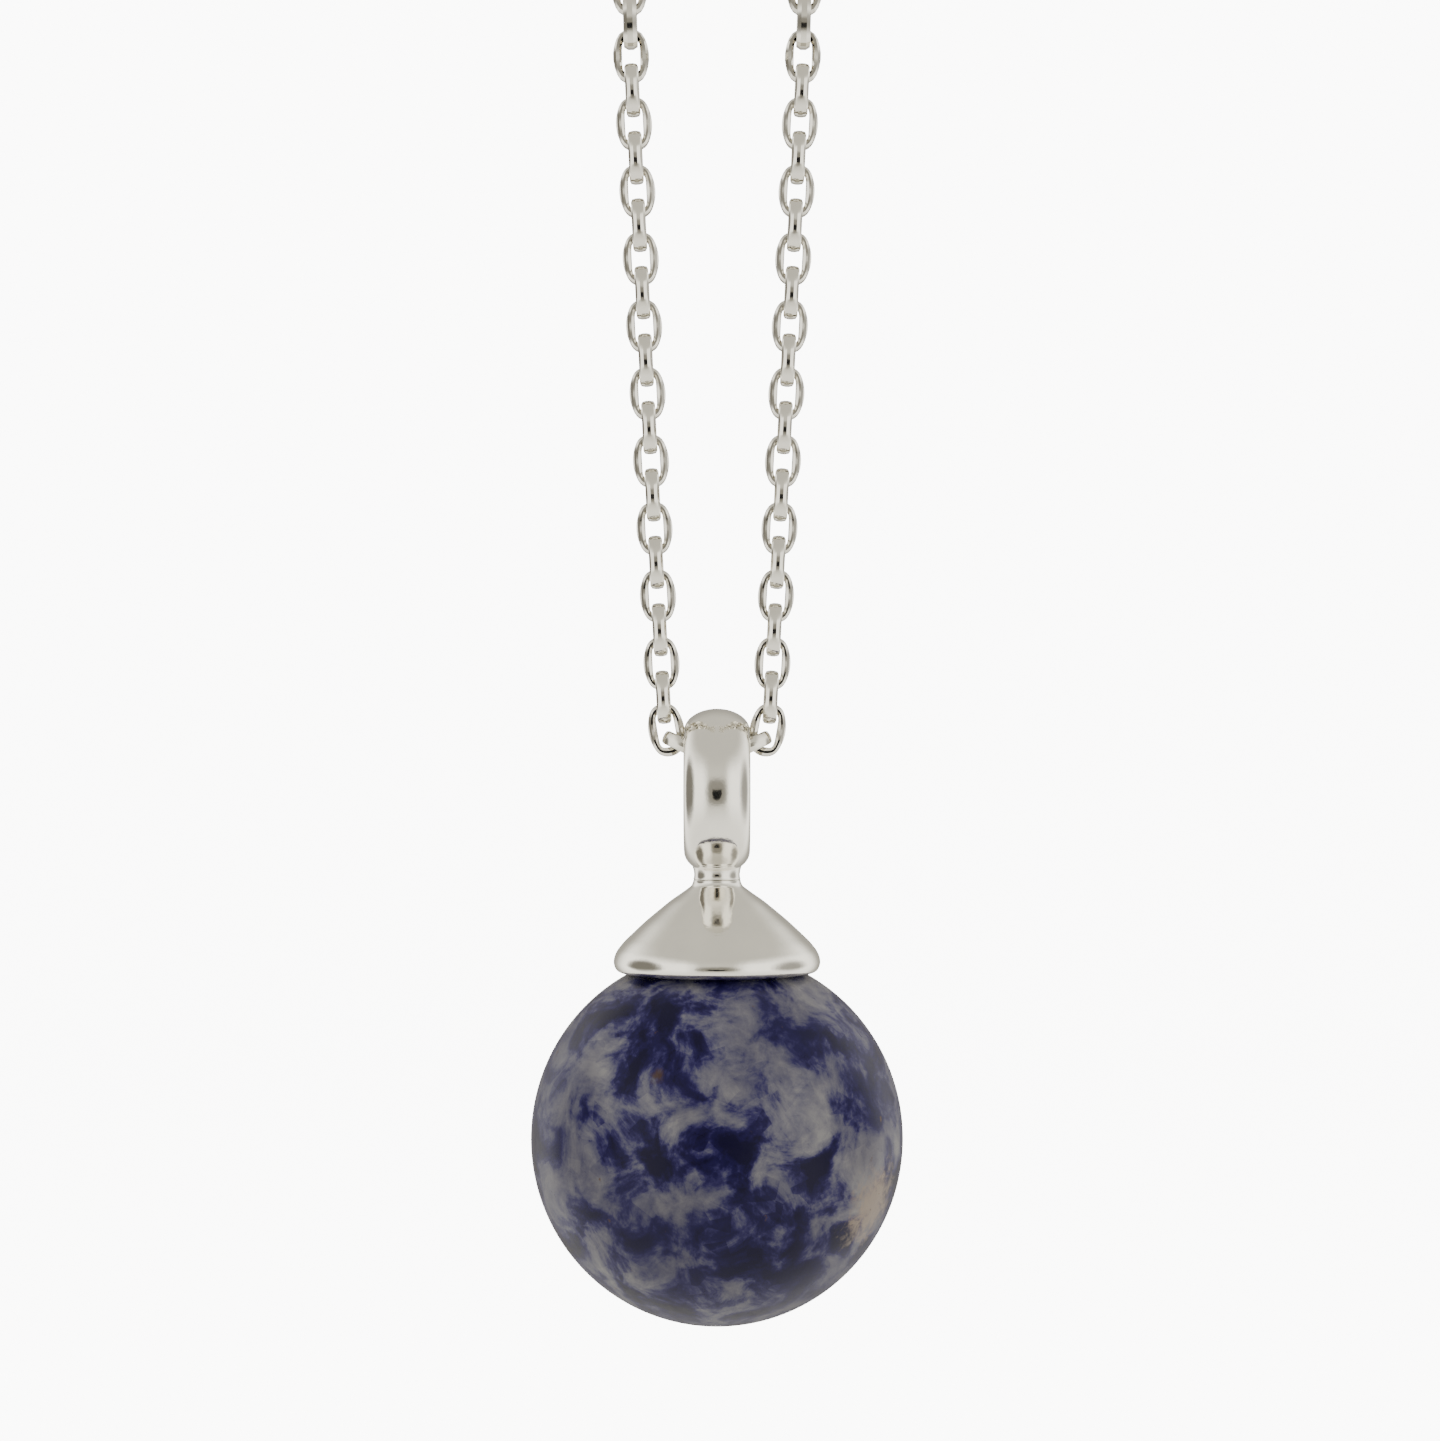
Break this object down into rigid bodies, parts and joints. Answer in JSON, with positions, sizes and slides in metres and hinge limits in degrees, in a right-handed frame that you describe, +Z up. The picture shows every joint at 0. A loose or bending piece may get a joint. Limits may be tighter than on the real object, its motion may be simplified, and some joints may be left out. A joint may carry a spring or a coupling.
{
  "type": "ball pendant necklace",
  "caption": "Fine silver anchor-chain necklace with a round sodalite ball pendant under a flared silver cap and a half-round bail ring, hung over a bar.",
  "frame": {"origin": "axis of the horizontal display bar the chain hangs over, midway between the two strands", "axes": "+Z up, away from the pendant; +X along the bar, to the right seen from the front; the front of the pendant faces -Y"},
  "size_m": [0.0166, 0.02, 0.0906],
  "materials": {
    "chain_silver": "polished silver, diamond cut",
    "polished_silver": "polished silver",
    "clasp_silver": "polished silver",
    "spring_steel": "drawn wire",
    "pin_silver": "drawn wire",
    "sodalite": "satin polished"
  },
  "bodies": {
    "bar_side": {"left_lead": "chain_silver", "right_lead": "chain_silver", "left_coil": "chain_silver", "right_coil": "chain_silver", "left_end": "chain_silver", "right_end": "chain_silver", "clasp_body": "clasp_silver", "clasp_spring": "spring_steel", "left_jump_ring": "clasp_silver", "right_end_ring": "clasp_silver"},
    "link_row_20": {"left_link_20": "chain_silver", "right_link_20": "chain_silver"},
    "link_row_19": {"left_link_19": "chain_silver", "right_link_19": "chain_silver"},
    "link_row_18": {"left_link_18": "chain_silver", "right_link_18": "chain_silver"},
    "link_row_17": {"left_link_17": "chain_silver", "right_link_17": "chain_silver"},
    "link_row_16": {"left_link_16": "chain_silver", "right_link_16": "chain_silver"},
    "link_row_15": {"left_link_15": "chain_silver", "right_link_15": "chain_silver"},
    "link_row_14": {"left_link_14": "chain_silver", "right_link_14": "chain_silver"},
    "link_row_13": {"left_link_13": "chain_silver", "right_link_13": "chain_silver"},
    "link_row_12": {"left_link_12": "chain_silver", "right_link_12": "chain_silver"},
    "link_row_11": {"left_link_11": "chain_silver", "right_link_11": "chain_silver"},
    "link_row_10": {"left_link_10": "chain_silver", "right_link_10": "chain_silver"},
    "link_row_09": {"left_link_09": "chain_silver", "right_link_09": "chain_silver"},
    "link_row_08": {"left_link_08": "chain_silver", "right_link_08": "chain_silver"},
    "link_row_07": {"left_link_07": "chain_silver", "right_link_07": "chain_silver"},
    "link_row_06": {"left_link_06": "chain_silver", "right_link_06": "chain_silver"},
    "link_row_05": {"left_link_05": "chain_silver", "right_link_05": "chain_silver"},
    "link_row_04": {"left_link_04": "chain_silver", "right_link_04": "chain_silver"},
    "link_row_03": {"left_link_03": "chain_silver", "right_link_03": "chain_silver"},
    "link_row_02": {"left_link_02": "chain_silver", "right_link_02": "chain_silver"},
    "link_row_01": {"left_link_01": "chain_silver", "right_link_01": "chain_silver"},
    "pass_links": {"left_pass_link": "chain_silver", "right_pass_link": "chain_silver"},
    "centre_link": {"centre_link": "chain_silver"},
    "pendant": {"bail_ring": "polished_silver", "bead_cap": "polished_silver", "bead_pin": "pin_silver", "stone_bead": "sodalite"},
    "clasp_bolt": {"clasp_bolt": "clasp_silver"}
  },
  "joints": [
    {"name": "link_row_20_hinge", "type": "hinge", "parent": "bar_side", "child": "link_row_20", "pos_m": [0, -0.0039, -0.03186], "axis": [1, 0, 0], "range_deg": [-5, 5]},
    {"name": "link_row_19_hinge", "type": "hinge", "parent": "link_row_20", "child": "link_row_19", "pos_m": [0, -0.0039, -0.03354], "axis": [1, 0, 0], "range_deg": [-5, 5]},
    {"name": "link_row_18_hinge", "type": "hinge", "parent": "link_row_19", "child": "link_row_18", "pos_m": [0, -0.0039, -0.03499], "axis": [1, 0, 0], "range_deg": [-5, 5]},
    {"name": "link_row_17_hinge", "type": "hinge", "parent": "link_row_18", "child": "link_row_17", "pos_m": [0, -0.0039, -0.03644], "axis": [1, 0, 0], "range_deg": [-5, 5]},
    {"name": "link_row_16_hinge", "type": "hinge", "parent": "link_row_17", "child": "link_row_16", "pos_m": [0, -0.0039, -0.03789], "axis": [1, 0, 0], "range_deg": [-5, 5]},
    {"name": "link_row_15_hinge", "type": "hinge", "parent": "link_row_16", "child": "link_row_15", "pos_m": [0, -0.0039, -0.03934], "axis": [1, 0, 0], "range_deg": [-5, 5]},
    {"name": "link_row_14_hinge", "type": "hinge", "parent": "link_row_15", "child": "link_row_14", "pos_m": [0, -0.0039, -0.0408], "axis": [1, 0, 0], "range_deg": [-5, 5]},
    {"name": "link_row_13_hinge", "type": "hinge", "parent": "link_row_14", "child": "link_row_13", "pos_m": [0, -0.0039, -0.04225], "axis": [1, 0, 0], "range_deg": [-5, 5]},
    {"name": "link_row_12_hinge", "type": "hinge", "parent": "link_row_13", "child": "link_row_12", "pos_m": [0, -0.0039, -0.0437], "axis": [1, 0, 0], "range_deg": [-5, 5]},
    {"name": "link_row_11_hinge", "type": "hinge", "parent": "link_row_12", "child": "link_row_11", "pos_m": [0, -0.0039, -0.04515], "axis": [1, 0, 0], "range_deg": [-5, 5]},
    {"name": "link_row_10_hinge", "type": "hinge", "parent": "link_row_11", "child": "link_row_10", "pos_m": [0, -0.0039, -0.0466], "axis": [1, 0, 0], "range_deg": [-5, 5]},
    {"name": "link_row_09_hinge", "type": "hinge", "parent": "link_row_10", "child": "link_row_09", "pos_m": [0, -0.0039, -0.04806], "axis": [1, 0, 0], "range_deg": [-5, 5]},
    {"name": "link_row_08_hinge", "type": "hinge", "parent": "link_row_09", "child": "link_row_08", "pos_m": [0, -0.0039, -0.04951], "axis": [1, 0, 0], "range_deg": [-5, 5]},
    {"name": "link_row_07_hinge", "type": "hinge", "parent": "link_row_08", "child": "link_row_07", "pos_m": [0, -0.0039, -0.05096], "axis": [1, 0, 0], "range_deg": [-5, 5]},
    {"name": "link_row_06_hinge", "type": "hinge", "parent": "link_row_07", "child": "link_row_06", "pos_m": [0, -0.0039, -0.05241], "axis": [1, 0, 0], "range_deg": [-5, 5]},
    {"name": "link_row_05_hinge", "type": "hinge", "parent": "link_row_06", "child": "link_row_05", "pos_m": [0, -0.0039, -0.05386], "axis": [1, 0, 0], "range_deg": [-5, 5]},
    {"name": "link_row_04_hinge", "type": "hinge", "parent": "link_row_05", "child": "link_row_04", "pos_m": [0, -0.0039, -0.05532], "axis": [1, 0, 0], "range_deg": [-5, 5]},
    {"name": "link_row_03_hinge", "type": "hinge", "parent": "link_row_04", "child": "link_row_03", "pos_m": [0, -0.0039, -0.05677], "axis": [1, 0, 0], "range_deg": [-5, 5]},
    {"name": "link_row_02_hinge", "type": "hinge", "parent": "link_row_03", "child": "link_row_02", "pos_m": [0, -0.0039, -0.05822], "axis": [1, 0, 0], "range_deg": [-5, 5]},
    {"name": "link_row_01_hinge", "type": "hinge", "parent": "link_row_02", "child": "link_row_01", "pos_m": [0, -0.0039, -0.05966], "axis": [1, 0, 0], "range_deg": [-5, 5]},
    {"name": "pass_links_hinge", "type": "hinge", "parent": "link_row_01", "child": "pass_links", "pos_m": [0, -0.0039, -0.06099], "axis": [1, 0, 0], "range_deg": [-5, 5]},
    {"name": "centre_link_hinge", "type": "hinge", "parent": "pass_links", "child": "centre_link", "pos_m": [0, -0.0039, -0.0615], "axis": [1, 0, 0], "range_deg": [-5, 5]},
    {"name": "pendant_swing", "type": "hinge", "parent": "centre_link", "child": "pendant", "pos_m": [0, -0.0039, -0.0615], "axis": [1, 0, 0], "range_deg": [-40, 40]},
    {"name": "clasp_bolt_pull", "type": "hinge", "parent": "bar_side", "child": "clasp_bolt", "pos_m": [0.0006, 0.0065, -0.0106], "axis": [0, -1, 0], "range_deg": [0, 38], "stiffness_Nm_per_rad": 0.004, "springref_deg": -11.46, "deforming": ["clasp_spring"]}
  ]
}
